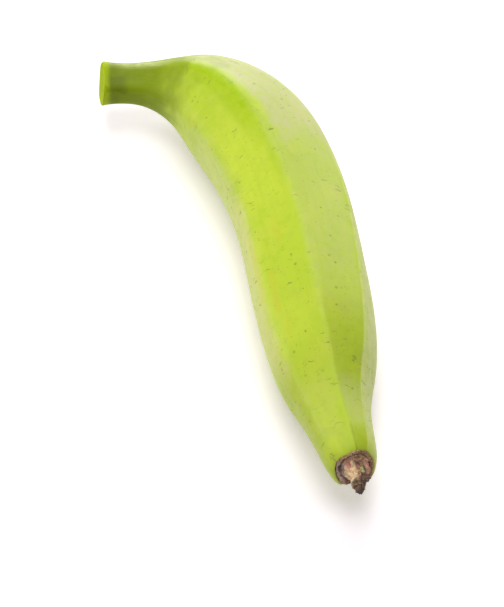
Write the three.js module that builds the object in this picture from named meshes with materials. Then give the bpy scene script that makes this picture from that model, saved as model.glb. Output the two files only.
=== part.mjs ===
// A green plantain lying on its side: cut stem, five-sided body and dried blossom end in one solid.
// Units are millimetres. Z points up and the fruit rests on the plane z = 0. The cut stem points
// towards -X at the back, the blossom end towards -Y at the front, and the curve bulges towards +X.
import * as THREE from 'three';
import { mergeVertices } from 'three/addons/utils/BufferGeometryUtils.js';

// The fruit's middle line and thickness, from the cut stem to the blossom end.
// Each row is x, y, z and the radius out to the ridges, the control points of one smooth curve.
const AXIS = [
  [-58.5, 96.6, 27, 9.8],
  [-36.5, 98.6, 25.6, 8.8],
  [-13.5, 94.1, 24, 22],
  [5, 77.1, 22.8, 27],
  [19, 50.1, 23.2, 27.8],
  [28, 20.1, 22.6, 26.6],
  [33, -10.9, 22.4, 27],
  [37.5, -37.4, 21.2, 25.8],
  [40, -58.4, 21.2, 22.6],
  [42.7, -75.4, 23, 14.4],
  [48.8, -99.4, 25, 11.2],
];

// Five ridges run the length of the fruit. Each row holds their angles around the middle line, in
// degrees from straight up towards the outside of the curve, and the rows are control points at
// equal distances from the cut stem to the blossom end.
const RIDGE_ANGLES = [
  [16, 89, 168, 248, 297],
  [-11, 65, 140, 220, 298],
  [-3, 61, 138, 220, 305],
  [-4, 40, 136, 220, 305],
  [8, 36, 136, 222, 308],
];

// How widely each ridge is rounded, in radians, in rows at the same distances.
const RIDGE_SOFTNESS = [
  [0.5, 0.5, 0.5, 0.5, 0.4],
  [0.12, 0.15, 0.25, 0.25, 0.35],
  [0.06, 0.08, 0.25, 0.25, 0.25],
  [0.06, 0.05, 0.25, 0.25, 0.35],
  [0.05, 0.06, 0.2, 0.2, 0.5],
];

// The face that follows each ridge: 0 is flat, 1 is as round as a circle.
const FACE_BULGE = [0.55, 0.7, 0.4, 0.7, 0.4];

const CUT_BEVEL = 0.6; // rounding of the rim of the cut stem
const CUT_FLARE = 0.9; // the stem widens by this much at the cut
const FLARE_LENGTH = 4; // within this distance of it
const CUT_LEAN = -0.1; // slope by which the cut looks up
const TIP_LEAN = 0.26; // slope by which the end of the green skin looks up
const LEAN_LENGTH = 14; // the length at each end that takes the slope
const TIP_TAPER = 1.3; // the skin narrows by this much at its blossom end
const TAPER_LENGTH = 2.5; // within about this distance of it

// The skin turns in around the dried blossom end, which sits a little off the middle.
// Each row is a distance past the green skin, the width as a share of the skin's, and the shift
// towards the outside of the curve.
const BLOSSOM_END = [
  [0.6, 0.95, 0.1],
  [1.2, 0.88, 0.4],
  [1.5, 0.78, 0.4],
  [1.5, 0.68, 0.4],
  [2.6, 0.58, 0.4],
  [6, 0.53, 0.4],
  [8.6, 0.46, 0.4],
  [10.2, 0.34, 0.4],
  [11, 0.17, 0.4],
];

const RINGS = 52; // rings of points along the skin
const STEPS_PER_FACE = 8; // points across each of the five faces
const UP = new THREE.Vector3(0, 0, 1);
const TANGENT_STEP = 0.0001;

function ease(value) {
  return THREE.MathUtils.smoothstep(value, 0, 1);
}

// A point on the uniform cubic B-spline that starts on the first row and ends on the last.
function blendRows(rows, t) {
  const last = rows.length - 1;
  const place = THREE.MathUtils.clamp(t, 0, 1) * last;
  const start = Math.min(Math.floor(place), last - 1);
  const u = place - start;
  const weights = [
    (1 - u) ** 3,
    3 * u ** 3 - 6 * u ** 2 + 4,
    -3 * u ** 3 + 3 * u ** 2 + 3 * u + 1,
    u ** 3,
  ];
  const mirrored = (near, far) => near.map((value, column) => 2 * value - far[column]);
  const before = start > 0 ? rows[start - 1] : mirrored(rows[0], rows[1]);
  const after = start + 2 <= last ? rows[start + 2] : mirrored(rows[last], rows[last - 1]);
  const nearby = [before, rows[start], rows[start + 1], after];
  return rows[0].map((_, column) => {
    const sum = nearby.reduce((total, row, index) => total + weights[index] * row[column], 0);
    return sum / 6;
  });
}

class MiddleLine extends THREE.Curve {
  getPoint(t, target = new THREE.Vector3()) {
    const [x, y, z] = blendRows(AXIS, t);
    return target.set(x, y, z);
  }
}

const middleLine = new MiddleLine();
const LENGTH = middleLine.getLength();

// The five faces at a share of the length: where each starts, half its width in radians, the
// rounding of the ridges on its two sides, and its bulge.
function facesAt(share) {
  const angles = blendRows(RIDGE_ANGLES, share).map(THREE.MathUtils.degToRad);
  const softness = blendRows(RIDGE_SOFTNESS, share);
  return angles.map((start, index) => {
    const isLast = index === angles.length - 1;
    const end = isLast ? angles[0] + 2 * Math.PI : angles[index + 1];
    const endSoftness = isLast ? softness[0] : softness[index + 1];
    const half = (end - start) / 2;
    return { start, half, softness: [softness[index], endSoftness], bulge: FACE_BULGE[index] };
  });
}

// How far the skin is from the middle at a share of one face's width, for ridges one unit away.
function skinReach(face, share) {
  const { half, bulge } = face;
  const softness = share < 0.5 ? face.softness[0] : face.softness[1];
  const toRidge = 2 * half * Math.min(share, 1 - share);
  const softened = (angle) => Math.hypot(angle, softness) - softness;
  const rounded = (softened(toRidge) * half) / softened(half);
  const flat = Math.cos(half) / Math.cos(half - rounded);
  return THREE.MathUtils.lerp(flat, 1, bulge);
}

// The slope by which a ring leans along the middle line, for each unit of height above it.
function leanAt(distance) {
  const nearCut = ease(1 - distance / LEAN_LENGTH);
  const nearTip = ease(1 - (LENGTH - distance) / LEAN_LENGTH);
  return CUT_LEAN * nearCut + TIP_LEAN * nearTip;
}

// A ring of points around the middle line, with the same number of steps across each face. It is
// moved along the line by offset and towards the outside of the curve by shift.
function makeRing(share, offset, scale, shift) {
  const distance = share * LENGTH;
  const t = middleLine.getUtoTmapping(share);
  const flare = CUT_FLARE * Math.exp(-distance / FLARE_LENGTH);
  const taper = TIP_TAPER * Math.exp((distance - LENGTH) / TAPER_LENGTH);
  const radius = blendRows(AXIS, t)[3] + flare - taper;
  const along = middleLine.getPoint(Math.min(t + TANGENT_STEP, 1));
  along.sub(middleLine.getPoint(Math.max(t - TANGENT_STEP, 0))).normalize();
  const outward = new THREE.Vector3().crossVectors(UP, along).normalize();
  const upward = new THREE.Vector3().crossVectors(along, outward);
  const centre = middleLine.getPoint(t).addScaledVector(along, offset);
  centre.addScaledVector(outward, shift);
  const lean = leanAt(distance);
  const points = [];
  for (const face of facesAt(share)) {
    for (let step = 0; step < STEPS_PER_FACE; step += 1) {
      const place = step / STEPS_PER_FACE;
      const angle = face.start + 2 * face.half * place;
      const reach = radius * scale * skinReach(face, place);
      const height = reach * Math.cos(angle);
      const point = centre.clone();
      point.addScaledVector(upward, height);
      point.addScaledVector(outward, reach * Math.sin(angle));
      point.addScaledVector(along, -lean * height);
      points.push(point);
    }
  }
  return { centre, points };
}

// Rings from the cut stem to the end of the dried blossom end.
function makeRings() {
  const rimScale = 1 - CUT_BEVEL / AXIS[0][3];
  const rings = [makeRing(0, 0, rimScale, 0)];
  for (let index = 0; index < RINGS; index += 1) {
    const distance = THREE.MathUtils.lerp(CUT_BEVEL, LENGTH, index / (RINGS - 1));
    rings.push(makeRing(distance / LENGTH, 0, 1, 0));
  }
  for (const [offset, scale, shift] of BLOSSOM_END) {
    rings.push(makeRing(1, offset, scale, shift));
  }
  return rings;
}

// Joins the rings into one closed skin, with a point in the middle of each end.
function makeSkin(rings) {
  const around = rings[0].points.length;
  const vertices = rings.flatMap((ring) => ring.points);
  const triangles = [];
  for (let ring = 0; ring < rings.length - 1; ring += 1) {
    for (let step = 0; step < around; step += 1) {
      const a = ring * around + step;
      const b = ring * around + ((step + 1) % around);
      triangles.push(a, a + around, b, b, a + around, b + around);
    }
  }
  const cutMiddle = vertices.push(rings[0].centre) - 1;
  const tipMiddle = vertices.push(rings.at(-1).centre) - 1;
  const lastRing = (rings.length - 1) * around;
  for (let step = 0; step < around; step += 1) {
    const next = (step + 1) % around;
    triangles.push(cutMiddle, step, next);
    triangles.push(tipMiddle, lastRing + next, lastRing + step);
  }
  return { vertices, triangles };
}

// The lowest face is pressed flat where the fruit's weight rests on it.
function restOnGround(vertices) {
  for (const vertex of vertices) {
    vertex.z = Math.max(vertex.z, 0);
  }
}

function makePlantain() {
  const { vertices, triangles } = makeSkin(makeRings());
  restOnGround(vertices);
  const positions = new Float32Array(vertices.flatMap((vertex) => vertex.toArray()));
  const geometry = new THREE.BufferGeometry();
  geometry.setAttribute('position', new THREE.BufferAttribute(positions, 3));
  geometry.setIndex(triangles);
  const closed = mergeVertices(geometry);
  closed.computeVertexNormals();
  const peel = new THREE.MeshStandardMaterial({ color: 0xb9cf4e, roughness: 0.5, metalness: 0 });
  const mesh = new THREE.Mesh(closed, peel);
  mesh.name = 'plantain';
  return mesh;
}

const plantain = new THREE.Group();
plantain.add(makePlantain());

export default plantain;
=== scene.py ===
import math

import bpy
import numpy as np
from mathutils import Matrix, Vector, noise


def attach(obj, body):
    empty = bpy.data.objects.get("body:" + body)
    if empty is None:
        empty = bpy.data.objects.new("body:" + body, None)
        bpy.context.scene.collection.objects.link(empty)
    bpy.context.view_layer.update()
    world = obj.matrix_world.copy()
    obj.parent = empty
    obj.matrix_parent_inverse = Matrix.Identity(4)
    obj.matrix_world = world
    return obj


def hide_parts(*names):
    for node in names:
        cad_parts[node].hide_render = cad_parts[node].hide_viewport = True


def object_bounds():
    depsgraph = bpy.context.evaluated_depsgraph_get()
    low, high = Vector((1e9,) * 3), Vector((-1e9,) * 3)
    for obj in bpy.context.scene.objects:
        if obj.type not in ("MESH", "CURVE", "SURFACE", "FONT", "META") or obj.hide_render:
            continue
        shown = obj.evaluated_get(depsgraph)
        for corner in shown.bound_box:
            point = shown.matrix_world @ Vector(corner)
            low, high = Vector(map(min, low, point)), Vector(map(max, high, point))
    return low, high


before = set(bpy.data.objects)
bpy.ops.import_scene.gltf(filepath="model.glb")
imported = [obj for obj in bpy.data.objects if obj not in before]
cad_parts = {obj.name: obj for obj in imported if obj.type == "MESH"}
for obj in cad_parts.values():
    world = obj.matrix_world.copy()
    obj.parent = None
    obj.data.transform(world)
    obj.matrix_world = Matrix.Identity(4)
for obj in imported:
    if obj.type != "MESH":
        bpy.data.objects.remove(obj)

MM = 0.001
cad_low, cad_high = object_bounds()

# The middle line's control points, from the cut stem to the blossom end: x, y, z and the radius out
# to the ridges.
AXIS = np.array([
    [-58.5, 96.6, 27, 9.8],
    [-36.5, 98.6, 25.6, 8.8],
    [-13.5, 94.1, 24, 22],
    [5, 77.1, 22.8, 27],
    [19, 50.1, 23.2, 27.8],
    [28, 20.1, 22.6, 26.6],
    [33, -10.9, 22.4, 27],
    [37.5, -37.4, 21.2, 25.8],
    [40, -58.4, 21.2, 22.6],
    [42.7, -75.4, 23, 14.4],
    [48.8, -99.4, 25, 11.2],
])

# Five ridges run the length of the fruit. The rows are control points at equal distances from the
# cut stem to the blossom end. Angles are in degrees around the middle line, from straight up
# towards the outside of the curve, and softness is the width of a ridge's rounding in radians.
RIDGE_ANGLES = np.array([
    [16, 89, 168, 248, 297],
    [-11, 65, 140, 220, 298],
    [-3, 61, 138, 220, 305],
    [-4, 40, 136, 220, 305],
    [8, 36, 136, 222, 308],
])
RIDGE_SOFTNESS = np.array([
    [0.5, 0.5, 0.5, 0.5, 0.4],
    [0.12, 0.15, 0.25, 0.25, 0.35],
    [0.06, 0.08, 0.25, 0.25, 0.25],
    [0.06, 0.05, 0.25, 0.25, 0.35],
    [0.05, 0.06, 0.2, 0.2, 0.5],
])
FACE_BULGE = np.array([0.55, 0.7, 0.4, 0.7, 0.4])    # of the face after each ridge: 0 flat, 1 round
FACES = len(FACE_BULGE)

CUT_BEVEL = 0.6
CUT_FLARE = 0.9         # the stem widens by this much at the cut
FLARE_LENGTH = 4
CUT_LEAN = -0.1         # slope by which the cut looks up
TIP_LEAN = 0.26         # slope by which the end of the green skin looks up
LEAN_LENGTH = 14
TIP_TAPER = 1.3         # the skin narrows by this much at its blossom end
TAPER_LENGTH = 2.5

RINGS = 420             # rings of vertices along the skin
STEPS_PER_FACE = 36     # vertices across each of the five faces
RIDGE_CROWDING = 0.1    # how much closer together they are near a ridge
END_CROWDING = 0.11     # and the rings near both ends
AROUND = FACES * STEPS_PER_FACE
FACE_TURN = 2 * math.pi / FACES
AXIS_SAMPLES = 2001     # points by which the middle line is measured
TANGENT_STEP = 1e-4     # of its curve parameter, by which its direction is measured


# ---------------------------------------------------------------- the loft


def ease(value):
    value = np.clip(value, 0, 1)
    return value * value * (3 - 2 * value)


def blend_rows(rows, t):
    """Points on the uniform cubic B-spline that starts on the first row and ends on the last."""
    before = 2 * rows[0] - rows[1]
    after = 2 * rows[-1] - rows[-2]
    padded = np.vstack([before, rows, after])
    last = len(rows) - 1
    place = np.clip(t, 0, 1) * last
    start = np.minimum(place.astype(int), last - 1)
    u = (place - start)[:, None]
    weights = [(1 - u)**3, 3 * u**3 - 6 * u**2 + 4, -3 * u**3 + 3 * u**2 + 3 * u + 1, u**3]
    return sum(weight * padded[start + k] for k, weight in enumerate(weights)) / 6


def unit(vectors):
    return vectors / np.linalg.norm(vectors, axis=-1, keepdims=True)


def measure_axis():
    """Distance from the cut for evenly spaced curve parameters."""
    t = np.linspace(0, 1, AXIS_SAMPLES)
    steps = np.diff(blend_rows(AXIS, t)[:, :3], axis=0)
    distance = np.concatenate([[0], np.cumsum(np.linalg.norm(steps, axis=1))])
    return t, distance


AXIS_T, AXIS_DISTANCE = measure_axis()
LENGTH = AXIS_DISTANCE[-1]


def stations(distance):
    """Centre, radius and the three directions of the middle line at distances from the cut."""
    t = np.interp(distance, AXIS_DISTANCE, AXIS_T)
    here = blend_rows(AXIS, t)
    ahead = blend_rows(AXIS, np.minimum(t + TANGENT_STEP, 1))
    behind = blend_rows(AXIS, np.maximum(t - TANGENT_STEP, 0))
    along = unit((ahead - behind)[:, :3])
    outward = unit(np.cross([0, 0, 1], along))
    upward = np.cross(along, outward)
    flare = CUT_FLARE * np.exp(-distance / FLARE_LENGTH)
    taper = TIP_TAPER * np.exp((distance - LENGTH) / TAPER_LENGTH)
    radius = here[:, 3] + flare - taper
    return here[:, :3], radius, along, outward, upward


def following(values, turn=0):
    """The same values for each ridge's neighbour."""
    return np.hstack([values[:, 1:], values[:, :1] + turn])


def section(distance):
    """Vertex angles around each ring, and the skin's reach there for ridges one unit away."""
    ridges = np.radians(blend_rows(RIDGE_ANGLES, distance / LENGTH))
    softness = blend_rows(RIDGE_SOFTNESS, distance / LENGTH)
    half = ((following(ridges, 2 * math.pi) - ridges) / 2)[:, :, None]
    share = face_share()
    angles = ridges[:, :, None] + 2 * half * share
    to_ridge = 2 * half * np.minimum(share, 1 - share)
    soft = np.where(share < 0.5, softness[:, :, None], following(softness)[:, :, None])
    rounded = (np.hypot(to_ridge, soft) - soft) * half / (np.hypot(half, soft) - soft)
    flat = np.cos(half) / np.cos(half - rounded)
    bulge = FACE_BULGE[None, :, None]
    reach = flat * (1 - bulge) + bulge
    return angles.reshape(-1, AROUND), reach.reshape(-1, AROUND)


def face_share():
    """Each vertex's place across its face, from 0 on one ridge to 1 on the next."""
    even = np.arange(STEPS_PER_FACE) / STEPS_PER_FACE
    return even - RIDGE_CROWDING * np.sin(2 * math.pi * even)


def lean_at(distance):
    """Slope of a ring along the middle line, for each unit of height above it."""
    near_cut = ease(1 - distance / LEAN_LENGTH)
    near_tip = ease(1 - (LENGTH - distance) / LEAN_LENGTH)
    return CUT_LEAN * near_cut + TIP_LEAN * near_tip


def skin_rings(distance, offset=0.0, scale=1.0, outwards=0.0):
    """Rings of skin points, scaled, and moved along the middle line and outwards from the curve."""
    centre, radius, along, outward, upward = stations(distance)
    angles, reach = section(distance)
    size = radius[:, None] * reach * scale
    height = size * np.cos(angles)
    side = size * np.sin(angles) + outwards
    shift = offset - lean_at(distance)[:, None] * height
    return (centre[:, None, :] + height[..., None] * upward[:, None, :]
            + side[..., None] * outward[:, None, :] + shift[..., None] * along[:, None, :])


# ---------------------------------------------------------------- meshes


OCTAVE_FALLOFF = 1.0      # how much weaker, and how much finer, each octave of noise is
OCTAVE_RATIO = 2.0
TINY = 1e-12              # keeps a length from being zero


def noise_at(points, size, octaves=1):
    """Smooth noise, about -1 to 1, with features of a given size at each point."""
    places = [Vector(point) for point in (points / size).reshape(-1, 3).tolist()]
    values = [noise.fractal(place, OCTAVE_FALLOFF, OCTAVE_RATIO, octaves) for place in places]
    return np.array(values).reshape(points.shape[:-1])


def grid_faces(rings, around):
    """Quads between neighbouring rings, closed around."""
    ring = np.arange(rings - 1)[:, None] * around
    step = np.arange(around)[None, :]
    after = (step + 1) % around
    corners = [ring + step, ring + around + step, ring + around + after, ring + after]
    return np.stack(corners, axis=-1).reshape(-1, 4)


def closed_faces(rings, around):
    """The grid's quads and a flat cap on its first and last ring."""
    last = (rings - 1) * around
    faces = [tuple(face) for face in grid_faces(rings, around).tolist()]
    faces.append(tuple(range(around)))
    faces.append(tuple(last + step for step in reversed(range(around))))
    return faces


def bake_map(mesh, rings, around):
    """A UV map for the grid: along the fruit in u, around it in v, and the caps in one corner."""
    used = 0.97
    corner = 0.985
    cap_size = 0.01
    layer = mesh.uv_layers.new(name="OFBake")
    for face in mesh.polygons:
        places = np.array(face.vertices)
        ring, step = places // around, places % around
        if len(places) == 4:
            step = np.where((step == 0) & (step.max() == around - 1), around, step)
            coordinates = np.stack([ring / (rings - 1), step / around], axis=-1) * used
        else:
            turn = 2 * math.pi * step / around
            coordinates = corner + cap_size * np.stack([np.cos(turn), np.sin(turn)], axis=-1)
        for loop, place in zip(face.loop_indices, coordinates.tolist()):
            layer.uv[loop].vector = place


def mesh_object(name, vertices, faces):
    """An object with a smooth mesh, from vertices in millimetres."""
    mesh = bpy.data.meshes.new(name)
    mesh.from_pydata((vertices * MM).tolist(), [], faces)
    mesh.update()
    mesh.shade_smooth()
    piece = bpy.data.objects.new(name, mesh)
    bpy.context.scene.collection.objects.link(piece)
    return piece


def grid_object(name, rings):
    """A closed object from rings of points, with its bake map."""
    count, around = rings.shape[:2]
    piece = mesh_object(name, rings.reshape(-1, 3), closed_faces(count, around))
    bake_map(piece.data, count, around)
    return piece


def store(piece, name, values):
    """Keeps a number or a vector for each vertex, for the material to read."""
    kind, field = ("FLOAT_VECTOR", "vector") if values.ndim == 3 else ("FLOAT", "value")
    attribute = piece.data.attributes.new(name, kind, "POINT")
    attribute.data.foreach_set(field, values.astype(np.float32).ravel())


def finish_piece(piece, material):
    piece.data.materials.append(material)
    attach(piece, "root")
    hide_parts("plantain")


# ---------------------------------------------------------------- the peel

SWELL_HEIGHT = 0.3        # how far the skin swells and dips between its ridges
SWELL_SIZE = 13
SWELL_SQUEEZE = 0.45      # along the fruit: below 1, the swellings are longer than they are wide
RIPPLE_SHARE = 0.3        # smaller ripples, as a share of the swelling
RIPPLE_SIZE = 4.5
RIPPLE_SQUEEZE = 0.2
STEM_SMOOTH = 20          # the lengths at the stem and at the tip over which both fade out
TIP_SMOOTH = 12
EDGE_RAGGED = 0.35        # how unevenly the peel ends around the dried flower
EDGE_TOOTH = 3.2          # the size of its teeth
EDGE_DEPTH = 3.5          # the length of skin that takes it

# The peel turns in at both ends: distance from that end, counted towards the blossom end, width as
# a share of the ring there, and shift towards the outside of the curve.
CUT_LIP = [(2.0, 0.88, 0), (0.4, 0.9, 0), (0.0, 0.935, 0)]
TIP_LIP = [(0.35, 0.975, 0), (0.7, 0.945, 0), (1.0, 0.91, 0), (1.15, 0.88, -0.1),
           (1.1, 0.85, -0.2), (0.8, 0.83, -0.2), (0.0, 0.81, -0.2), (-2.5, 0.78, -0.2)]


def ring_distances():
    """Where the rings lie, closer together near both ends, where the shape changes faster."""
    share = np.linspace(0, 1, RINGS)
    packed = share - END_CROWDING * np.sin(2 * math.pi * share)
    return CUT_BEVEL + (LENGTH - CUT_BEVEL) * packed


def straightened(distance):
    """Skin points as if the middle line were straight along z, so textures follow the fruit."""
    angles, reach = section(distance)
    _, radius, _, _, _ = stations(distance)
    size = radius[:, None] * reach
    height = np.broadcast_to(distance[:, None], size.shape)
    return np.stack([size * np.cos(angles), size * np.sin(angles), height], axis=-1)


def squeezed(straight, squeeze):
    """The same points with their distances along the fruit scaled."""
    return straight * np.array([1, 1, squeeze])


def swell(points, distance, straight):
    """Moves the skin out and in by a fraction of a millimetre, less towards the ends."""
    centre, _, _, _, _ = stations(distance)
    direction = unit(points - centre[:, None, :])
    slow = noise_at(squeezed(straight, SWELL_SQUEEZE), SWELL_SIZE)
    quick = noise_at(squeezed(straight, RIPPLE_SQUEEZE), RIPPLE_SIZE)
    amount = SWELL_HEIGHT * (slow + RIPPLE_SHARE * quick)
    inside = ease(distance / STEM_SMOOTH) * ease((LENGTH - distance) / TIP_SMOOTH)
    return points + (amount * inside[:, None])[..., None] * direction


def fray_edge(points, distance, straight):
    """Ends the peel unevenly around the dried flower."""
    _, _, along, _, _ = stations(distance)
    near = ease(1 - (LENGTH - distance) / EDGE_DEPTH)
    edge = EDGE_RAGGED * noise_at(squeezed(straight[-1], 0), EDGE_TOOTH, octaves=2)
    return points + (near[:, None] * edge[None, :])[..., None] * along[:, None, :]


def lip_rings(distance, lip):
    """Rings that turn the skin's edge in."""
    at_end = np.array([distance])
    return np.concatenate([skin_rings(at_end, *place) for place in lip])


def make_peel():
    distance = ring_distances()
    straight = straightened(distance)
    skin = swell(skin_rings(distance), distance, straight)
    skin = fray_edge(skin, distance, straight)
    cut_lip = lip_rings(0.0, CUT_LIP)
    frayed = skin[-1] - skin_rings(distance[-1:])[0]
    tip_lip = lip_rings(LENGTH, TIP_LIP) + frayed
    rings = np.concatenate([cut_lip, skin, tip_lip])
    rings[..., 2] = np.maximum(rings[..., 2], 0)
    piece = grid_object("plantain_peel", rings)
    at_cut = np.zeros(len(cut_lip))
    at_tip = np.full(len(tip_lip), LENGTH)
    mark_peel(piece, np.concatenate([at_cut, distance, at_tip]))
    return piece


PATCH_RAGGED = 0.3        # how uneven the patches' edges are, as a share of their blurs
PATCH_TOOTH = 9           # and the size of that unevenness
RIDGE_BAND = 0.05         # half the width of the band along a ridge, in turns

# Areas of the peel that look different. turn counts faces around the fruit: 0 is the ridge on top,
# 1 the outer one and 4 the inner one. Each row is the middle turn, half the width in turns and its
# blur, then the middle distance from the cut, half the length and its blur, and a strength.
PATCHES = {
    # whitish wax on the outer and inner flanks, partly a painted sheen where they turn away at a
    # grazing angle
    "wax_and_sheen": [
        (1.47, 0.49, 0.05, 174, 58, 40, 0.95),
        (3.66, 0.24, 0.16, 136, 46, 40, 0.62),
        (2.5, 0.35, 0.3, 140, 80, 40, 0.45),
    ],
    # greyer bloom on the shoulder and towards the blossom end; on the shoulder it is partly a
    # painted reflection of the lamps above and behind
    "dust_and_reflection": [
        (0.86, 0.66, 0.14, 66, 24, 31, 0.72),
        (0.45, 0.35, 0.2, 138, 26, 40, 0.25),
        (0.5, 0.42, 0.08, 233, 4, 12, 0.36),
        (4.4, 0.25, 0.25, 234, 8, 12, 0.12),
    ],
    # a whiter bloom next to the top ridge on the shoulder, partly a painted reflection of the lamps
    # above and behind
    "bloom_and_reflection": [
        (0.13, 0.11, 0.09, 46, 14, 20, 0.24),
    ],
    # beige along the inner ridge
    "beige": [
        (3.86, 0.12, 0.13, 168, 34, 24, 0.45),
    ],
    # a brighter, yellower green
    "sunny": [
        (4.5, 0.28, 0.16, 110, 12, 24, 0.8),
        (4.45, 0.25, 0.16, 193, 4, 9, 0.5),
        (4.05, 0.3, 0.15, 251, 4, 5, 0.7),
        (3.96, 0.14, 0.14, 195, 30, 30, 0.35),
        (0.45, 0.35, 0.2, 190, 4, 10, 0.35),
    ],
    # the deepest green, beside the top ridge on the shoulder
    "lush": [
        (4.84, 0.1, 0.16, 66, 20, 22, 0.75),
        (4.94, 0.06, 0.06, 60, 18, 16, 1),
    ],
    # a duller, darker green, partly painted shade on the outer face towards the blossom end
    "olive": [
        (0.5, 0.42, 0.07, 206, 12, 16, 0.5),
        (0.55, 0.38, 0.08, 250, 4, 6, 0.55),
        (0.02, 0.05, 0.05, 250, 5, 7, 0.8),
        (2.4, 0.5, 0.3, 60, 30, 30, 0.4),
        (3.6, 0.4, 0.3, 232, 14, 22, 0.5),
    ],
    # the stem
    "stem": [(2.5, 2.5, 1, 0, 23, 33, 1)],
    # a painted highlight along the top of the stem
    "stem_top_highlight": [
        (0.1, 0.12, 0.09, 12, 10, 13, 0.6),
        (4.93, 0.05, 0.06, 10, 8, 10, 0.3),
    ],
    # its fresh bright rim, and painted shade on the stem just behind the rim
    "rim": [
        (2.5, 2.5, 1, 0, 1.3, 3.2, 0.88),
        (3.45, 0.4, 0.3, 1, 1.2, 3.2, 1),
    ],
    "painted_rim_shade": [
        (2.5, 2.5, 1, 5, 1.5, 3.5, 0.4),
        (4.2, 0.25, 0.3, 6, 2.5, 4.5, 0.8),
    ],
    # small ripe spots
    "ripe": [
        (4.24, 0.04, 0.07, 171, 3, 4, 0.42),
        (4.22, 0.03, 0.06, 181, 3, 4, 0.5),
        (4.3, 0.05, 0.1, 194, 3, 5, 0.2),
        (4.55, 0.05, 0.08, 150, 3, 6, 0.3),
        (3.99, 0.02, 0.05, 164, 8, 14, 0.3),
    ],
    # rubbed, corky places
    "scuffed": [
        (0.52, 0.02, 0.03, 53, 2.6, 2, 0.95),
        (0.36, 0.012, 0.02, 48.5, 2.2, 2, 0.7),
        (0.985, 0.012, 0.02, 172, 0.4, 0.5, 0.8),
        (0.985, 0.012, 0.02, 174.5, 0.3, 0.4, 0.5),
        (0.9, 0.03, 0.04, 214, 3, 5, 0.35),
        (0.82, 0.03, 0.04, 224, 3, 5, 0.35),
    ],
}


def turns_from(turn, middle):
    """How far a turn is from the middle one, the short way around, with its sign."""
    return (turn - middle + FACES / 2) % FACES - FACES / 2


def patch_strength(turn, distance, ragged, patch):
    """The patch's strength inside it, falling off over its blurs along an uneven edge."""
    mid_turn, half_turn, turn_blur, mid, half, blur, strength = patch
    across = np.abs(turns_from(turn, mid_turn))
    in_turn = ease((half_turn - across) / turn_blur + 1 + ragged)
    in_distance = ease((half - np.abs(distance - mid)) / blur + 1 + ragged)
    return strength * in_turn * in_distance


def store_patches(piece, kinds, turn, distance, ragged):
    """Keeps the strength of each kind of patch for each vertex."""
    for name, patches in kinds.items():
        layers = [patch_strength(turn, distance, ragged, patch) for patch in patches]
        store(piece, name, np.maximum.reduce(layers))


def mark_peel(piece, distance):
    """Keeps what the peel's material reads at each vertex, for rings at these distances."""
    straight = straightened(distance)
    store(piece, "straight", straight)
    turned_in = np.arange(len(distance)) - (len(distance) - len(TIP_LIP)) + 1
    store(piece, "turned_in", np.repeat(np.maximum(turned_in, 0)[:, None], AROUND, axis=1))
    turn = (np.arange(FACES)[:, None] + face_share()).reshape(1, -1)
    ragged = PATCH_RAGGED * noise_at(straight, PATCH_TOOTH, octaves=3)
    store_patches(piece, PATCHES, turn, distance[:, None], ragged)
    to_ridge = np.minimum(turn % 1, 1 - turn % 1)
    ridge = np.exp(-(to_ridge / RIDGE_BAND)**2)
    store(piece, "ridge", np.broadcast_to(ridge, ragged.shape))


# ---------------------------------------------------------------- the cut face of the stem

CUT_RINGS = 46
CUT_WIDTH = 0.93          # as a share of the stem's
CUT_MIDDLE = 0.02         # width of the innermost ring, as a share of the cut's
CUT_DISH = 0.35           # how far the middle of the cut sinks
CUT_THICKNESS = 1.5
FIBRE_RELIEF = 0.12       # how high the cut fibres stand
FIBRE_SIZE = 0.9
FIBRE_FADE = 0.1          # it fades out over this share of the cut's width at the rim


def make_cut_face():
    """A thin closed disc that fills the end of the stem, with the relief of cut fibres."""
    share = np.linspace(CUT_MIDDLE, 1, CUT_RINGS)
    rim = lip_rings(0.0, [(0.0, CUT_WIDTH, 0)])[0]
    centre, _, along, _, _ = (value[0] for value in stations(np.array([0.0])))
    front = centre + (rim - centre) * share[:, None, None]
    fibres = FIBRE_RELIEF * noise_at(front, FIBRE_SIZE, octaves=2)
    fibres = fibres * ease((1 - share[:, None]) / FIBRE_FADE)
    sunk = CUT_DISH * (1 - share[:, None]**2) + fibres
    front = front + sunk[..., None] * along
    back = np.stack([rim, (rim + centre) / 2]) + CUT_THICKNESS * along
    rings = np.concatenate([front, back])
    piece = grid_object("cut_stem", rings)
    across = np.concatenate([share, np.ones(len(back))])
    store(piece, "across", np.broadcast_to(across[:, None], rings.shape[:2]))
    return piece


# ---------------------------------------------------------------- the dried blossom end

DRIED_AROUND = 360
DRIED_RINGS = 200

DRIED_SHIFT = 0.4         # towards the outside of the curve
DRIED_NARROWER = 0.13     # how much less it reaches on that side
LEAN_HOLDS = 2.8          # up to this distance past the skin it leans as the skin's end does
LEAN_FADES = 14           # and over this length after it the lean goes
ROUNDER_FROM = 0.92       # where it is narrower than this share of the skin, it gets rounder,
ROUNDER_OVER = 0.3        # and is round when it is narrower by this much

# Its outline: distance past the green skin and width as a share of the skin's there.
DRIED_OUTLINE = np.array([
    [-2.5, 0.80],
    [-0.6, 0.85],
    [0.7, 0.885],
    [1.6, 0.855],
    [1.8, 0.78],
    [0.9, 0.72],
    [0.5, 0.665],
    [1.2, 0.60],
    [3.0, 0.56],
    [5.2, 0.55],
    [6.9, 0.54],
    [8.0, 0.50],
    [8.7, 0.41],
    [9.0, 0.24],
    [8.6, 0.02],
])

# The groove between its outer ring and its middle, in the same share of the width.
# painted shade darkens the groove
GROOVE_SHARE = 0.665
GROOVE_BLUR = 0.035

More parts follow.
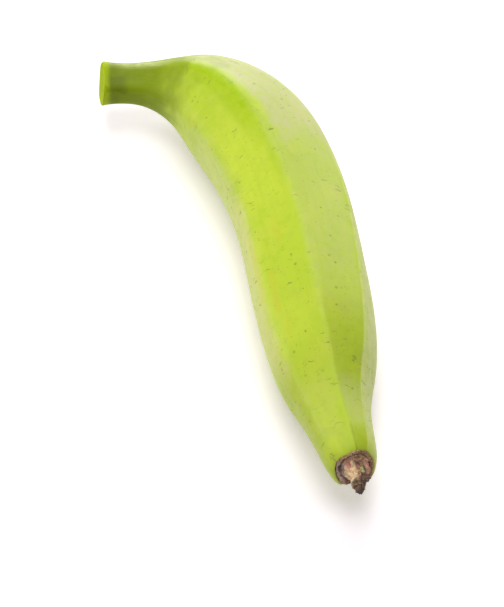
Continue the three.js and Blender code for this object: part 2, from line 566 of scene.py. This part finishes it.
# Its relief: the height and the size of each kind of feature. Folds along the flower grow in, and
# wrinkles around it fade out, between two distances past the skin.
SWELLINGS = (0.4, 3.6)
CREASES = (0.5, 1.9)
FINE_CREASES = (0.32, 0.9)
LONG_FOLDS = (0.45, 1.9)
LONG_FOLDS_GROW = (1, 3)
WRINKLES = (0.14, 2.2)
WRINKLES_FADE = (4, 6)

# A crease is made of sharp and of rough noise, and the mean of its height is about 0.
CREASE_SHARP = 1.6
CREASE_ROUGH = 0.5
CREASE_MEAN = 0.35

RELIEF_START = -1.2       # distance past the skin where the relief starts
RELIEF_GROWS = 1.5        # and the length over which it grows
RELIEF_FADES = 0.12       # near the far end it fades over this share of the skin's width

DRIED_RAGGED = 0.4        # how uneven the edges of its patches are, as a share of their blurs
DRIED_TOOTH = 1.6         # and the size of that unevenness

# Lumps and hollows of the dried flower: the turn around it (0 up, 1.25 outwards), the distance past
# the skin, half the width in turns, half the length, and the height.
DRIED_LUMPS = [
    (-0.65, 5.8, 0.32, 2.9, 1.5),
    (-0.6, 2.5, 0.17, 1.0, 1.5),
    (-1.2, 5.0, 0.35, 2.6, 1.1),
    (-1.3, 1.3, 0.4, 0.9, 0.6),
    (0.55, 1.6, 0.3, 1.0, 0.5),
    (-0.05, 4.0, 0.13, 1.1, -0.7),
    (0.2, 2.6, 0.1, 0.9, 0.7),
    (0.12, 1.8, 0.07, 0.5, -0.8),
    (0.1, 8.0, 0.08, 2.6, 0.55),
    (0.28, 6.5, 0.07, 3.0, -0.6),
    (0.72, 3.6, 0.2, 2.4, 0.7),
    (0.5, 9.2, 0.2, 1.4, -0.4),
    (1.6, 7.8, 0.4, 2.0, 1.9),
    (-1.55, 5.6, 0.45, 2.6, 2.0),
    (2.1, 6.0, 0.4, 3.5, 0.8),
    (2.6, 9.0, 0.4, 2.2, -1.3),
    (-1.8, 4.5, 0.35, 3.0, 0.8),
]

# Its colours, in rows like those of the peel's patches, but with distances past the skin.
DRIED_PATCHES = {
    "tan": [
        (-1.05, 0.8, 0.14, 5.7, 3.3, 1.0, 1),
        (0.1, 0.8, 0.2, 0.6, 0.5, 0.3, 1),
        (2.4, 0.3, 0.4, 6, 2, 2, 0.8),
    ],
    "dark": [
        (0.6, 0.62, 0.25, 9.5, 1.3, 1.1, 0.9),
        (0.5, 0.16, 0.12, 6.0, 0.9, 0.8, 0.5),
        (0.1, 0.3, 0.2, 3.4, 0.6, 0.8, 0.55),
        (2.5, 2.5, 1, 9.6, 0.6, 0.8, 0.9),
        (2.9, 0.3, 0.3, 8, 2, 2, 0.8),
    ],
    "olive": [
        (0.18, 0.1, 0.07, 7.3, 1.3, 0.8, 0.95),
        (-1.0, 0.1, 0.1, 10, 1, 1, 0.6),
    ],
    "pink": [
        (-0.6, 0.15, 0.08, 2.6, 1.0, 0.5, 1),
        (0.85, 0.2, 0.2, 3.6, 1.6, 1.0, 0.6),
    ],
    "ashen": [
        (-1.3, 0.45, 0.25, 1.2, 0.9, 0.6, 0.85),
        (0.2, 0.45, 0.2, 0.4, 0.5, 0.4, 0.9),
    ],
}


def dried_grid():
    """For each point: distance past the skin, angle, and width as a share of the skin's."""
    t = np.linspace(0, 1, DRIED_RINGS)
    turn = np.linspace(0, 2 * math.pi, DRIED_AROUND, endpoint=False)
    columns = [column[:, None] for column in blend_rows(DRIED_OUTLINE, t).T]
    offset, share = (np.repeat(column, DRIED_AROUND, axis=1) for column in columns)
    return offset, np.broadcast_to(turn, offset.shape), share


def dried_points(offset, turn, share):
    """The same points in space, on the tip's outline near the skin and rounder further out."""
    at_tip = np.array([LENGTH])
    centre, radius, along, outward, upward = (value[0] for value in stations(at_tip))
    angles, reach = (value[0] for value in section(at_tip))
    outline = np.interp(turn, angles, reach, period=2 * math.pi)
    rounder = ease((ROUNDER_FROM - share) / ROUNDER_OVER)
    size = radius * share * (outline * (1 - rounder) + reach.mean() * rounder)
    height = size * np.cos(turn)
    side = size * np.sin(turn) * np.where(turn < math.pi, 1 - DRIED_NARROWER, 1) + DRIED_SHIFT
    lean = lean_at(at_tip)[0] * ease(1 - (offset - LEAN_HOLDS) / LEAN_FADES)
    forward = offset - lean * height
    return (centre + height[..., None] * upward + side[..., None] * outward
            + forward[..., None] * along)


def grid_normals(points):
    """Outward unit normals of a closed grid."""
    down = np.gradient(points, axis=0)
    around = np.roll(points, -1, axis=1) - np.roll(points, 1, axis=1)
    return unit(np.cross(around, down) + TINY)


def creases(points, height, size):
    """Sharp folds, like those of dry paper, with features of a given size."""
    sharp = CREASE_SHARP * np.abs(noise_at(points, size))
    rough = CREASE_ROUGH * noise_at(points, size / 2, octaves=2)
    return height * (CREASE_MEAN - sharp + rough)


def tube_places(turn, offset, radius, squeeze):
    """Places on a tube, for noise whose features run along it or around it."""
    return np.stack([np.cos(turn) * radius, np.sin(turn) * radius, offset * squeeze], axis=-1)


def grow(value, start, end):
    """0 up to start, then a smooth rise to 1 at end."""
    return ease((value - start) / (end - start))


def dried_relief(points, offset, turn):
    """Heights of lumps, folds and wrinkles above the smooth outline."""
    height, size = SWELLINGS
    relief = height * noise_at(points, size)
    relief += creases(points, *CREASES) + creases(points, *FINE_CREASES)
    folds = creases(tube_places(turn, offset, radius=6, squeeze=0.3), *LONG_FOLDS)
    relief += folds * grow(offset, *LONG_FOLDS_GROW)
    height, size = WRINKLES
    wrinkles = height * noise_at(tube_places(turn, offset, radius=3, squeeze=4), size)
    relief += wrinkles * (1 - grow(offset, *WRINKLES_FADE))
    for mid, place, half_turn, half, height in DRIED_LUMPS:
        across = turns_from(turn / FACE_TURN, mid) / half_turn
        relief += height * np.exp(-across**2 - ((offset - place) / half)**2)
    return relief


def make_blossom_end():
    offset, turn, share = dried_grid()
    smooth = dried_points(offset, turn, share)
    relief = dried_relief(smooth, offset, turn)
    shown = ease((offset - RELIEF_START) / RELIEF_GROWS)
    shown = shown * ease((share - DRIED_OUTLINE[-1, 1]) / RELIEF_FADES)
    rings = smooth + (relief * shown)[..., None] * grid_normals(smooth)
    piece = grid_object("blossom_end", rings)
    ragged = DRIED_RAGGED * noise_at(smooth, DRIED_TOOTH, octaves=3)
    store_patches(piece, DRIED_PATCHES, turn / FACE_TURN, offset, ragged)
    store(piece, "relief", relief)
    # where painted shade darkens the groove
    store(piece, "groove", np.exp(-((share - GROOVE_SHARE) / GROOVE_BLUR)**2))
    return piece


# ---------------------------------------------------------------- materials


class Nodes:
    """Short names for the nodes that the materials and the world are made of."""

    def __init__(self, owner, shader="Principled BSDF"):
        owner.use_nodes = True
        self.owner = owner
        self.tree = owner.node_tree
        self.shader = self.tree.nodes[shader]

    def add(self, kind, **settings):
        made = self.tree.nodes.new(kind)
        for name, value in settings.items():
            setattr(made, name, value)
        return made

    def connect(self, value, socket):
        """Links a socket, or sets a number or colour."""
        if isinstance(value, bpy.types.NodeSocket):
            self.tree.links.new(value, socket)
        elif isinstance(value, tuple) and len(value) == 3 and socket.type == "RGBA":
            socket.default_value = (*value, 1)
        else:
            socket.default_value = value

    def attribute(self, name, output="Fac"):
        return self.add("ShaderNodeAttribute", attribute_name=name).outputs[output]

    def vector(self, operation, first, second):
        made = self.add("ShaderNodeVectorMath", operation=operation)
        self.connect(first, made.inputs[0])
        self.connect(second, made.inputs[1])
        return made.outputs[0]

    def scaled(self, vector, factors):
        return self.vector("MULTIPLY", vector, factors)

    def noise(self, vector, size, detail=2.0, roughness=0.5, output="Fac"):
        """Noise from 0 to 1 with features of a given size, in the vector's own units."""
        made = self.add("ShaderNodeTexNoise")
        self.connect(vector, made.inputs["Vector"])
        made.inputs["Scale"].default_value = 1 / size
        made.inputs["Detail"].default_value = detail
        made.inputs["Roughness"].default_value = roughness
        return made.outputs[output]

    def cells(self, vector, size):
        """Distance from the nearest of scattered points, and a random number for each."""
        made = self.add("ShaderNodeTexVoronoi")
        self.connect(vector, made.inputs["Vector"])
        made.inputs["Scale"].default_value = 1 / size
        split = self.add("ShaderNodeSeparateColor")
        self.connect(made.outputs["Color"], split.inputs[0])
        return made.outputs["Distance"], split.outputs[0], split.outputs[1]

    def remap(self, value, low, high, to_low=0.0, to_high=1.0):
        """Smooth step from to_low at low to to_high at high."""
        made = self.add("ShaderNodeMapRange", interpolation_type="SMOOTHSTEP")
        for socket, number in zip(made.inputs, (value, low, high, to_low, to_high)):
            self.connect(number, socket)
        return made.outputs[0]

    def mask(self, vector, size, between, to=(0.0, 1.0), detail=2.0, roughness=0.5):
        """Noise remapped: between two of its values, a smooth step from one number to another."""
        return self.remap(self.noise(vector, size, detail, roughness), *between, *to)

    def math(self, operation, first, second=0.0):
        made = self.add("ShaderNodeMath", operation=operation)
        self.connect(first, made.inputs[0])
        self.connect(second, made.inputs[1])
        return made.outputs[0]

    def times(self, *values):
        product = values[0]
        for value in values[1:]:
            product = self.math("MULTIPLY", product, value)
        return product

    def mix(self, factor, first, second):
        made = self.add("ShaderNodeMix", data_type="RGBA")
        self.connect(factor, made.inputs["Factor"])
        colours = [socket for socket in made.inputs if socket.type == "RGBA"]
        self.connect(first, colours[0])
        self.connect(second, colours[1])
        return next(socket for socket in made.outputs if socket.type == "RGBA")

    def bump(self, height, depth, normal=None):
        """Relief of a given depth in metres for a height of 1."""
        made = self.add("ShaderNodeBump")
        made.inputs["Distance"].default_value = depth
        self.connect(height, made.inputs["Height"])
        if normal is not None:
            self.connect(normal, made.inputs["Normal"])
        return made.outputs[0]

    def place(self):
        """The point's own place on the object, in millimetres."""
        metres = self.add("ShaderNodeTexCoord").outputs["Object"]
        return self.scaled(metres, (1 / MM, 1 / MM, 1 / MM))

    def height_of(self, vector):
        """The z part of a vector."""
        split = self.add("ShaderNodeSeparateXYZ")
        self.connect(vector, split.inputs[0])
        return split.outputs[2]

    def length_of(self, vector):
        made = self.add("ShaderNodeVectorMath", operation="LENGTH")
        self.connect(vector, made.inputs[0])
        return made.outputs["Value"]

    def set(self, name, value):
        self.connect(value, self.shader.inputs[name])


GREEN = (0.484, 0.622, 0.034)
YELLOWER = (0.556, 0.643, 0.050)
GREENER = (0.412, 0.566, 0.020)
STREAK = (0.375, 0.520, 0.015)
LUSH = (0.365, 0.535, 0.000)
# whitish wax, partly a painted sheen
WAX_AND_SHEEN = (0.625, 0.700, 0.225)
# greyer bloom, partly a painted reflection
DUST_AND_REFLECTION = (0.572, 0.550, 0.295)
# whiter bloom, partly a painted reflection
BLOOM_AND_REFLECTION = (0.640, 0.590, 0.420)
BEIGE = (0.690, 0.665, 0.240)
SUNNY = (0.571, 0.694, 0.046)
# a duller green, partly painted shade
OLIVE_AND_SHADE = (0.350, 0.440, 0.018)
RIPE = (0.575, 0.545, 0.030)
STEM_GREEN = (0.222, 0.305, 0.000)
# a painted highlight
STEM_TOP_HIGHLIGHT = (0.600, 0.645, 0.260)
RIM_GREEN = (0.43, 0.56, 0.00)
# painted shade
PAINTED_RIM_SHADE = (0.140, 0.188, 0.000)
SPECK = (0.125, 0.145, 0.015)
SCRATCH = (0.200, 0.245, 0.030)
SCUFF = (0.41, 0.355, 0.16)
TIP_TAN = (0.50, 0.46, 0.13)
TIP_BROWN = (0.17, 0.09, 0.045)

# Mottling of the green: the size and detail of its noise, the two values between which it sets in,
# its strength and its colour.
MOTTLES = [
    (13, 4, (0.45, 0.72), 0.75, YELLOWER),
    (21, 4, (0.5, 0.75), 0.75, GREENER),
    (4.5, 3, (0.5, 0.7), 0.5, GREENER),
]
MOTTLE_ROUGHNESS = 0.6
STREAK_SQUEEZE = 0.07     # streaks run along the fruit
TAN_STARTS = (2.5, 5)     # the rings of the tip's lip between which it turns tan, then brown
BROWN_STARTS = (5.5, 7)

# The colours of the patches, in the order in which they lie over each other.
PATCH_TINTS = {
    "sunny": SUNNY,
    "olive": OLIVE_AND_SHADE,
    "wax_and_sheen": WAX_AND_SHEEN,
    "dust_and_reflection": DUST_AND_REFLECTION,
    "bloom_and_reflection": BLOOM_AND_REFLECTION,
    "beige": BEIGE,
    "lush": LUSH,
    "ripe": RIPE,
}


def peel_colour(nodes, straight):
    """The green of the peel: mottled, streaked along the fruit, with wax or dust in places that are
    partly painted sheen and reflection, a duller green that is partly painted shade, and a
    painted highlight along the top of the stem.
    """
    colour = GREEN
    for size, detail, between, strength, tint in MOTTLES:
        mottle = nodes.mask(straight, size, between, (0, strength), detail, MOTTLE_ROUGHNESS)
        colour = nodes.mix(mottle, colour, tint)
    fine = nodes.mask(straight, 3.2, (0.3, 0.7), to=(0.6, 1.1), detail=4, roughness=0.65)
    for name, tint in PATCH_TINTS.items():
        strength = nodes.times(nodes.attribute(name), fine)
        colour = nodes.mix(nodes.math("MINIMUM", strength, 1), colour, tint)
    colour = nodes.mix(nodes.attribute("stem"), colour, STEM_GREEN)
    # painted highlight along the top of the stem
    colour = nodes.mix(nodes.times(nodes.attribute("stem_top_highlight"), fine), colour, STEM_TOP_HIGHLIGHT)
    lengthwise = nodes.scaled(straight, (1, 1, STREAK_SQUEEZE))
    streaks = nodes.noise(lengthwise, size=1.9, detail=4, roughness=0.6)
    colour = nodes.mix(nodes.remap(streaks, 0.48, 0.75, to_high=0.16), colour, STREAK)
    return colour, streaks


def end_colours(nodes, colour, straight):
    """A fresh bright rim at the cut with painted shade behind it, and an edge that dries to tan and
    brown around the flower.
    """
    # painted shade just behind the rim
    colour = nodes.mix(nodes.attribute("painted_rim_shade"), colour, PAINTED_RIM_SHADE)
    colour = nodes.mix(nodes.attribute("rim"), colour, RIM_GREEN)
    uneven = nodes.mask(straight, 2.4, (0.2, 0.8), to=(-2, 2), detail=3)
    turned_in = nodes.math("ADD", nodes.attribute("turned_in"), uneven)
    colour = nodes.mix(nodes.remap(turned_in, *TAN_STARTS, to_high=0.85), colour, TIP_TAN)
    return nodes.mix(nodes.remap(turned_in, *BROWN_STARTS), colour, TIP_BROWN)


# The least and the most of the possible places that have a pore. Near the cut it is only a part of
# that, which grows to all of it between two distances. Specks and scratches have shares of it.
CROWDED = (0.04, 0.55)
NEAR_CUT = 0.3
CROWDING_GROWS = (40, 130)
SPECK_SHARE = 0.75
SCRATCH_SHARE = 0.5

PORE_SPACING = 1.5
PORE_RADII = (0.16, 0.42)
PORE_STRENGTH = 0.6
SPECK_SPACING = 3.4
SPECK_RADII = (0.25, 0.75)
SPECK_STRENGTH = 0.8
SPOT_EDGE = (0.5, 1.25)   # in radii: where a spot starts to fade, and where it is gone
WIDEST_SPOT = 0.45        # wider spots are fainter, down to this strength
SCRATCH_SPACING = 2.4
SCRATCH_STRETCH = 2.3
SCRATCH_STRENGTH = 0.75
SCRATCH_EDGE = (0.14, 0.4)      # the same for a scratch, in spacings
FAINTEST_SCRATCH = 0.3
RUBBED = (0.07, 0.2)      # how strongly the skin is rubbed away from the ridges, and on them


def wavy(nodes, straight, size, amount):
    """The same places moved about by up to half of amount, so that marks aren't evenly spaced."""
    mean = (0.5, 0.5, 0.5)
    centred = nodes.vector("SUBTRACT", nodes.noise(straight, size, output="Color"), mean)
    return nodes.vector("ADD", straight, nodes.scaled(centred, (amount, amount, amount)))


def spots(nodes, straight, spacing, radii, amount):
    """Small round spots of varied radii, at a share of the possible places given by amount."""
    away, chance, width = nodes.cells(straight, spacing)
    radius = nodes.remap(width, 0, 1, radii[0] / spacing, radii[1] / spacing)
    spot = nodes.remap(nodes.math("DIVIDE", away, radius), *SPOT_EDGE, 1, 0)
    chosen = nodes.math("LESS_THAN", chance, amount)
    return nodes.times(spot, chosen, nodes.remap(width, 0, 1, 1, WIDEST_SPOT))


def dashes(nodes, straight, spacing, stretch, amount):
    """Short lines across the fruit, at a share of the possible places given by amount."""
    stretched = nodes.scaled(straight, (1 / stretch, 1 / stretch, stretch))
    away, chance, depth = nodes.cells(stretched, spacing)
    line = nodes.remap(away, *SCRATCH_EDGE, 1, 0)
    chosen = nodes.math("LESS_THAN", chance, amount)
    return nodes.times(line, chosen, nodes.remap(depth, 0, 1, FAINTEST_SCRATCH, 1))


def rubbed_colour(nodes, colour, straight):
    """Faint rubbed patches, mostly along the ridges, and the larger corky places."""
    rubbed = nodes.mask(straight, 5, (0.53, 0.66), detail=5, roughness=0.7)
    on_ridge = nodes.remap(nodes.attribute("ridge"), 0.05, 0.7, *RUBBED)
    colour = nodes.mix(nodes.times(rubbed, on_ridge), colour, SCUFF)
    grain = nodes.mask(nodes.scaled(straight, (1, 1, 2.2)), 1.1, (0.42, 0.58), detail=3)
    return nodes.mix(nodes.times(nodes.attribute("scuffed"), grain), colour, SCUFF)


def peel_marks(nodes, colour, straight):
    """Pores, specks and fine scratches across the fruit, over the rubbed patches."""
    crowded = nodes.mask(straight, 17, (0.36, 0.66), to=CROWDED, detail=3)
    further = nodes.remap(nodes.height_of(straight), *CROWDING_GROWS, to_low=NEAR_CUT)
    crowded = nodes.times(crowded, further)
    pores = spots(nodes, straight, PORE_SPACING, PORE_RADII, crowded)
    amount = nodes.times(crowded, SPECK_SHARE)
    specks = spots(nodes, straight, SPECK_SPACING, SPECK_RADII, amount)
    bent = wavy(nodes, straight, size=5, amount=7)
    amount = nodes.times(crowded, SCRATCH_SHARE)
    scratches = dashes(nodes, bent, SCRATCH_SPACING, SCRATCH_STRETCH, amount)
    colour = rubbed_colour(nodes, colour, straight)
    colour = nodes.mix(nodes.times(scratches, SCRATCH_STRENGTH), colour, SCRATCH)
    colour = nodes.mix(nodes.times(pores, PORE_STRENGTH), colour, SCRATCH)
    colour = nodes.mix(nodes.times(specks, SPECK_STRENGTH), colour, SPECK)
    return colour, nodes.math("MAXIMUM", specks, nodes.times(pores, 0.5)), scratches


PEEL_SPECULAR = 0.23

# The least and most roughness of smooth green skin, and what is added where these are strong.
PEEL_ROUGHNESS = (0.36, 0.46)
ROUGHER = {"wax_and_sheen": 0.06, "ridge": 0.1, "stem": 0.15}


def peel_material():
    nodes = Nodes(bpy.data.materials.new("peel"))
    straight = nodes.attribute("straight", "Vector")
    colour, streaks = peel_colour(nodes, straight)
    colour = end_colours(nodes, colour, straight)
    colour, specks, scratches = peel_marks(nodes, colour, straight)
    nodes.set("Base Color", colour)
    nodes.set("Specular IOR Level", PEEL_SPECULAR)
    roughness = nodes.mask(straight, 6, (0.3, 0.7), to=PEEL_ROUGHNESS, detail=3)
    for name, more in ROUGHER.items():
        roughness = nodes.math("ADD", roughness, nodes.times(nodes.attribute(name), more))
    nodes.set("Roughness", roughness)
    grain = nodes.noise(straight, size=0.55, detail=3, roughness=0.6)
    normal = nodes.bump(grain, depth=0.05 * MM)
    normal = nodes.bump(streaks, depth=0.09 * MM, normal=normal)
    marks = nodes.math("ADD", nodes.times(scratches, -1.0), nodes.times(specks, -0.7))
    nodes.set("Normal", nodes.bump(marks, depth=0.1 * MM, normal=normal))
    return nodes.owner


CUT_PULP = (0.44, 0.55, 0.05)
CUT_DEEPER = (0.38, 0.49, 0.03)
CUT_FIBRE = (0.42, 0.40, 0.14)
CUT_SKIN = (0.43, 0.56, 0.00)
FIBRE_SPACING = 1.15
CUT_SKIN_STARTS = (0.78, 0.9)   # shares of the cut's width between which its middle ends


def cut_material():
    """Green pulp with browner fibres, and the cut edge of the peel around it."""
    nodes = Nodes(bpy.data.materials.new("cut_stem"))
    place = nodes.place()
    away, chance, _ = nodes.cells(place, FIBRE_SPACING)
    fibre = nodes.remap(away, 0.12, 0.42, 1, 0)
    colour = nodes.mix(nodes.noise(place, size=2.6, detail=3), CUT_PULP, CUT_DEEPER)
    colour = nodes.mix(nodes.times(fibre, nodes.remap(chance, 0.2, 0.6)), colour, CUT_FIBRE)
    uneven = nodes.mask(place, 1.6, (0, 1), to=(-0.05, 0.05))
    edge = nodes.math("ADD", nodes.attribute("across"), uneven)
    colour = nodes.mix(nodes.remap(edge, *CUT_SKIN_STARTS), colour, CUT_SKIN)
    nodes.set("Base Color", colour)
    nodes.set("Specular IOR Level", 0.0)
    nodes.set("Roughness", nodes.mask(place, 1.3, (0.3, 0.7), to=(0.5, 0.7)))
    normal = nodes.bump(nodes.noise(place, size=0.35, detail=3), depth=0.08 * MM)
    nodes.set("Normal", nodes.bump(fibre, depth=0.15 * MM, normal=normal))
    return nodes.owner


DRIED_BROWN = (0.40, 0.22, 0.13)
DRIED_RED = (0.51, 0.24, 0.13)
DRIED_TAN = (0.71, 0.47, 0.24)
# pale straw, partly a painted highlight
DRIED_STRAW_HIGHLIGHT = (0.90, 0.70, 0.43)
DRIED_PINK = (0.70, 0.35, 0.27)
DRIED_ASHEN = (0.60, 0.47, 0.40)
DRIED_OLIVE = (0.60, 0.58, 0.23)
# dark brown, also the painted shade of the groove
DRIED_DARK = (0.115, 0.070, 0.047)
# painted shade in the hollows
HOLLOW_SHADE = (0.020, 0.011, 0.006)
FLECKS_START = (0.52, 0.63)     # values of the finest noise: above these it is flecked with tan,
PITS_END = (0.38, 0.48)         # and below these it has pits
PIT_STRENGTH = 0.6
HOLLOWS_END = (-1.0, 0.1)       # heights of the relief between which the painted shade of its hollows fades out
HOLLOW_SHADE_STRENGTH = 0.9


def dried_colour(nodes, place, flecks):
    """The colours of its patches over a red-brown that is flecked with tan, with paler flecks on
    the tan that are partly a painted highlight.
    """
    red = nodes.mask(place, 1.3, (0.4, 0.6), detail=4, roughness=0.6)
    colour = nodes.mix(red, DRIED_BROWN, DRIED_RED)
    colour = nodes.mix(nodes.times(flecks, 0.7), colour, DRIED_TAN)
    # paler flecks on the tan, partly a painted highlight on the tan lump
    straw_and_highlight = nodes.mask(place, 1.5, (0.42, 0.6), detail=3)
    tints = {
        "ashen": DRIED_ASHEN,
        "tan": nodes.mix(straw_and_highlight, DRIED_TAN, DRIED_STRAW_HIGHLIGHT),
        "pink": DRIED_PINK,
        "olive": DRIED_OLIVE,
        "dark": nodes.mix(nodes.times(flecks, 0.6), DRIED_DARK, DRIED_PINK),
    }
    for name, tint in tints.items():
        colour = nodes.mix(nodes.attribute(name), colour, tint)
    return colour


def dried_shade(nodes, place, colour, pits):
    """Darker pits, except where it is tan or pink, and painted shade: darker in the groove and
    darkest in the hollows.
    """
    smoother = nodes.math("MAXIMUM", nodes.attribute("tan"), nodes.attribute("pink"))
    pits = nodes.times(pits, nodes.remap(smoother, 0, 1, 1, 0.3))
    colour = nodes.mix(pits, colour, DRIED_DARK)
    uneven = nodes.mask(place, 2.2, (0.3, 0.6), to=(0.35, 0.9))
    # painted shade in the groove
    colour = nodes.mix(nodes.times(nodes.attribute("groove"), uneven), colour, DRIED_DARK)
    # painted shade, darkest in the lowest hollows of the relief
    hollow_shade = nodes.remap(nodes.attribute("relief"), *HOLLOWS_END, HOLLOW_SHADE_STRENGTH, 0)
    return nodes.mix(hollow_shade, colour, HOLLOW_SHADE)


def dried_material():
    """Crumpled dried flower: a red-brown ring, a tan lump, and a dark purple-brown end."""
    nodes = Nodes(bpy.data.materials.new("dried_end"))
    place = nodes.place()
    crumbs = nodes.noise(place, size=0.8, detail=3, roughness=0.6)
    colour = dried_colour(nodes, place, nodes.remap(crumbs, *FLECKS_START))
    pits = nodes.remap(crumbs, *PITS_END, PIT_STRENGTH, 0)
    nodes.set("Base Color", dried_shade(nodes, place, colour, pits))
    nodes.set("Roughness", nodes.mask(place, 1.1, (0.35, 0.65), to=(0.55, 0.85)))
    grain = nodes.noise(place, size=0.35, detail=4, roughness=0.65)
    nodes.set("Normal", nodes.bump(grain, depth=0.3 * MM))
    return nodes.owner


# ---------------------------------------------------------------- floor, light and camera

FLOOR_SIZE = 6000
FLOOR_COLOUR = (0.93, 0.875, 0.925)
FLOOR_GLOW = 0.31         # near the object, seen but not a light, so that the lit floor is white
GLOW_GROWS = (400, 1200)  # distances from the object between which the floor's glow grows to 1
FLOOR_GLOW_COLOUR = (1.0, 0.93, 0.95)
WORLD_STRENGTH = 0.185    # as a light
LAMP_SIZE = 0.8           # metres, like the distances of the lamps and of the camera
LAMP_DISTANCE = 1.4

# The studio's soft boxes: azimuth from +X, elevation, both in degrees, and power in watts.
LAMPS = {
    "overhead": (0, 90, 9.4),
    "low_left": (180, 18, 7.4),
    "low_back": (90, 18, 6.1),
    "low_right": (45, 18, 2.8),
    "high_back": (95, 50, 4.7),
}


def seen_rays(nodes):
    """1 for rays that show a thing, directly or in a mirror or glass, and 0 for light."""
    rays = nodes.add("ShaderNodeLightPath").outputs
    seen = nodes.math("MAXIMUM", rays["Is Camera Ray"], rays["Is Glossy Ray"])
    return nodes.math("MAXIMUM", seen, rays["Is Transmission Ray"])


def floor_material():
    nodes = Nodes(bpy.data.materials.new("floor"))
    nodes.set("Base Color", FLOOR_COLOUR)
    nodes.set("Roughness", 0.9)
    nodes.set("Specular IOR Level", 0.0)
    nodes.set("Emission Color", FLOOR_GLOW_COLOUR)
    away = nodes.length_of(nodes.scaled(nodes.place(), (1, 1, 0)))
    glow = nodes.remap(away, *GLOW_GROWS, to_low=FLOOR_GLOW)
    nodes.set("Emission Strength", nodes.times(seen_rays(nodes), glow))
    return nodes.owner


def make_floor():
    half = FLOOR_SIZE / 2
    corners = np.array([[-half, -half, 0], [half, -half, 0], [half, half, 0], [-half, half, 0]])
    floor = mesh_object("floor", corners, [(0, 1, 2, 3)])
    floor.data.materials.append(floor_material())


def make_world():
    """Soft light from all around, and plain white where it is seen."""
    nodes = Nodes(bpy.data.worlds.new("studio"), shader="Background")
    nodes.set("Color", (1, 1, 1))
    nodes.set("Strength", nodes.remap(seen_rays(nodes), 0, 1, to_low=WORLD_STRENGTH))
    bpy.context.scene.world = nodes.owner


def make_lamp(name, azimuth, elevation, power):
    lamp = bpy.data.lights.new(name, "AREA")
    lamp.shape = "DISK"
    lamp.size = LAMP_SIZE
    lamp.energy = power
    holder = bpy.data.objects.new(name, lamp)
    turn = math.radians(azimuth)
    rise = math.radians(elevation)
    level = math.cos(rise)
    towards = Vector((math.cos(turn) * level, math.sin(turn) * level, math.sin(rise)))
    holder.location = towards * LAMP_DISTANCE
    holder.rotation_euler = towards.to_track_quat("Z", "Y").to_euler()
    bpy.context.scene.collection.objects.link(holder)


CAMERA_LENS_MM = 100
CAMERA_ELEVATION = math.radians(55)
CAMERA_DISTANCE = 0.6964
AIM_OFFSET = Vector((0.0095, -0.0213, -0.0032))    # from the middle of the object's box


def make_camera():
    camera = bpy.data.cameras.new("camera")
    camera.lens = CAMERA_LENS_MM
    holder = bpy.data.objects.new("camera", camera)
    bpy.context.scene.collection.objects.link(holder)
    aim = (cad_low + cad_high) / 2 + AIM_OFFSET
    back = Vector((0, -math.cos(CAMERA_ELEVATION), math.sin(CAMERA_ELEVATION)))
    holder.location = aim + back * CAMERA_DISTANCE
    holder.rotation_euler = (-back).to_track_quat("-Z", "Y").to_euler()
    bpy.context.scene.camera = holder


make_camera()
finish_piece(make_peel(), peel_material())
finish_piece(make_cut_face(), cut_material())
finish_piece(make_blossom_end(), dried_material())
make_floor()
make_world()
for lamp_name, settings in LAMPS.items():
    make_lamp(lamp_name, *settings)
bpy.context.scene.view_settings.view_transform = "Standard"
